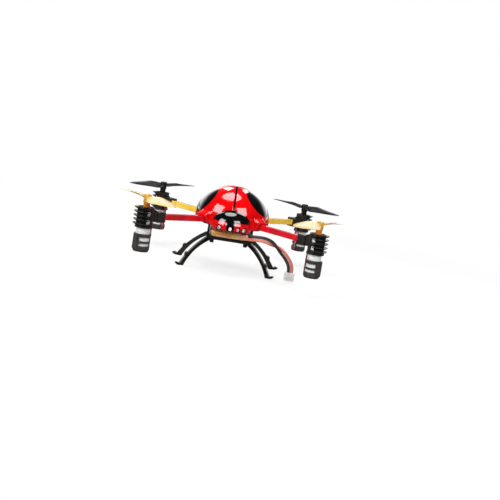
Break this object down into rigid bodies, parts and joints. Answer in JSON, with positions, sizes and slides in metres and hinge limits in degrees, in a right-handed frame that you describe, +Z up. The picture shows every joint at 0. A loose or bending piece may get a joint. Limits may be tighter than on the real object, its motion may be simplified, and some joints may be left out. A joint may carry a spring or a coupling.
{
  "type": "mini palm drone",
  "caption": "Palm-size quadrotor toy with a domed insect-like canopy, tube arms, coreless motors and curved landing legs.",
  "frame": {"origin": "on the floor plane under the centre of the four motor axes", "axes": "+Z up along the motor axes, -Y towards the nose, +X to the side the battery leads leave on"},
  "size_m": [0.1211, 0.1313, 0.0446],
  "materials": {
    "canopy_red": "high gloss moulded shell",
    "face_black": "high gloss",
    "lens_clear": "clear moulded lens",
    "frame_black": "fine moulded texture",
    "screw_steel": "plated",
    "board_green": "solder mask",
    "chip_black": "moulded package",
    "capacitor_tan": "ceramic",
    "plug_white": "natural nylon",
    "lead_black": "soft insulation",
    "lead_red": "soft insulation",
    "motor_wire": "thin insulation",
    "battery_foil": "laminated foil pouch",
    "tape_orange": "amber polyimide tape",
    "arm_red": "painted square tube",
    "arm_yellow": "painted square tube",
    "propeller_yellow": "slightly translucent",
    "propeller_black": "satin",
    "motor_steel": "drawn can",
    "magnet_nickel": "nickel plated",
    "winding_copper": "varnished copper winding on a steel shaft",
    "end_bell_white": "moulded"
  },
  "bodies": {
    "airframe": {"antenna_wire": "lead_black", "arm_clamp_plate": "frame_black", "arm_front_left": "arm_red", "arm_front_right": "arm_red", "arm_rear_left": "arm_yellow", "arm_rear_right": "arm_yellow", "battery_tray": "frame_black", "board_capacitors": "capacitor_tan", "centre_frame": "frame_black", "clamp_screws": "screw_steel", "drive_transistors": "chip_black", "flight_board": "board_green", "leg_front_left": "frame_black", "leg_front_right": "frame_black", "leg_rear_left": "frame_black", "leg_rear_right": "frame_black", "main_processor": "chip_black", "motion_sensor": "chip_black", "motor_can_front_left": "motor_steel", "motor_can_front_right": "motor_steel", "motor_can_rear_left": "motor_steel", "motor_can_rear_right": "motor_steel", "motor_cap_front_left": "frame_black", "motor_cap_front_right": "frame_black", "motor_cap_rear_left": "frame_black", "motor_cap_rear_right": "frame_black", "motor_end_bell_front_left": "end_bell_white", "motor_end_bell_front_right": "end_bell_white", "motor_end_bell_rear_left": "end_bell_white", "motor_end_bell_rear_right": "end_bell_white", "motor_magnet_front_left": "magnet_nickel", "motor_magnet_front_right": "magnet_nickel", "motor_magnet_rear_left": "magnet_nickel", "motor_magnet_rear_right": "magnet_nickel", "motor_mount_front_left": "frame_black", "motor_mount_front_right": "frame_black", "motor_mount_rear_left": "frame_black", "motor_mount_rear_right": "frame_black", "motor_wires": "motor_wire", "nose_lights": "lens_clear", "power_socket": "plug_white", "radio_chip": "chip_black", "radio_crystal": "screw_steel"},
    "canopy": {"canopy_shell": "canopy_red", "canopy_face": "face_black"},
    "battery": {"battery_cell": "battery_foil", "battery_lead_black": "lead_black", "battery_lead_red": "lead_red", "battery_plug": "plug_white", "battery_protection_board": "board_green", "battery_tape": "tape_orange"},
    "rotor_front_left": {"propeller_front_left": "propeller_yellow", "motor_rotor_front_left": "winding_copper"},
    "rotor_front_right": {"propeller_front_right": "propeller_yellow", "motor_rotor_front_right": "winding_copper"},
    "rotor_rear_left": {"propeller_rear_left": "propeller_black", "motor_rotor_rear_left": "winding_copper"},
    "rotor_rear_right": {"propeller_rear_right": "propeller_black", "motor_rotor_rear_right": "winding_copper"}
  },
  "joints": [
    {"name": "spin_front_left", "type": "hinge", "parent": "airframe", "child": "rotor_front_left", "pos_m": [-0.0425, -0.0425, 0.0354], "axis": [0, 0, 1], "continuous": true},
    {"name": "spin_front_right", "type": "hinge", "parent": "airframe", "child": "rotor_front_right", "pos_m": [0.0425, -0.0425, 0.0354], "axis": [0, 0, 1], "continuous": true},
    {"name": "spin_rear_left", "type": "hinge", "parent": "airframe", "child": "rotor_rear_left", "pos_m": [-0.0425, 0.0425, 0.0354], "axis": [0, 0, 1], "continuous": true},
    {"name": "spin_rear_right", "type": "hinge", "parent": "airframe", "child": "rotor_rear_right", "pos_m": [0.0425, 0.0425, 0.0354], "axis": [0, 0, 1], "continuous": true},
    {"name": "canopy_lift", "type": "slide", "parent": "airframe", "child": "canopy", "axis": [0, 0, 1], "range_m": [0, 0.03]},
    {"name": "battery_slide", "type": "slide", "parent": "airframe", "child": "battery", "axis": [0, -1, 0], "range_m": [0, 0.036]}
  ]
}
